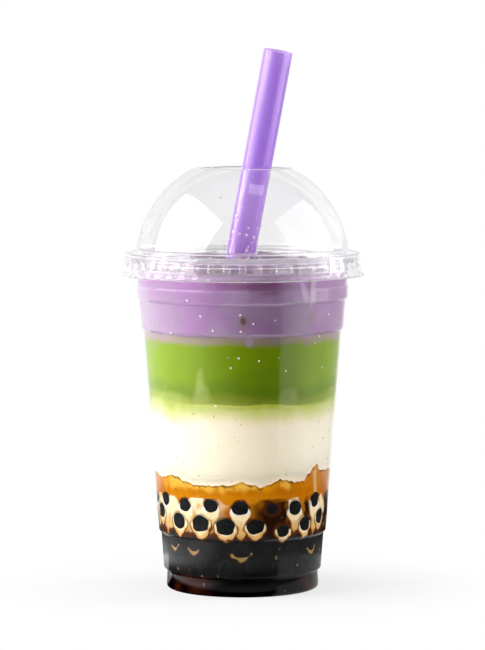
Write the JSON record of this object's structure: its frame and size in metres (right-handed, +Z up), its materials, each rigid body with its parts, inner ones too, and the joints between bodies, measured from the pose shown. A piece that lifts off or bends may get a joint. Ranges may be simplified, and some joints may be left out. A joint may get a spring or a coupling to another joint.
{
  "type": "bubble tea",
  "caption": "Layered taro, matcha and milk bubble tea with tapioca pearls, in a clear stepped cup with a dome lid and a wide leaning straw.",
  "frame": {"origin": "centre of the cup's footprint, on the table", "axes": "+Z up along the cup's axis; the straw leans towards +X and a little towards -Y, the shown side"},
  "size_m": [0.1048, 0.1048, 0.234],
  "materials": {
    "clear_cup": "thin clear moulded plastic, glossy",
    "clear_lid": "thin clear formed plastic, glossy",
    "lilac_straw": "translucent lilac plastic, glossy",
    "brown_sugar_syrup": "dark glossy syrup with a red-brown tint",
    "marbled_cream": "cream marbled with caramel streaks",
    "caramel": "wavy band of caramel brown sugar",
    "milk": "opaque ivory milk",
    "matcha": "opaque leaf-green matcha milk",
    "taro": "opaque lilac taro milk",
    "tapioca_pearl": "near-black glossy tapioca",
    "ice": "clear ice coated with taro milk",
    "water": "small clear water droplets"
  },
  "bodies": {
    "root": {"cup": "clear_cup", "dome_lid": "clear_lid", "straw": "lilac_straw", "drink_in_straw": "taro", "pearl_syrup_layer": "brown_sugar_syrup", "marbled_pearl_layer": "marbled_cream", "caramel_layer": "caramel", "milk_layer": "milk", "matcha_layer": "matcha", "taro_layer": "taro"}
  },
  "joints": []
}
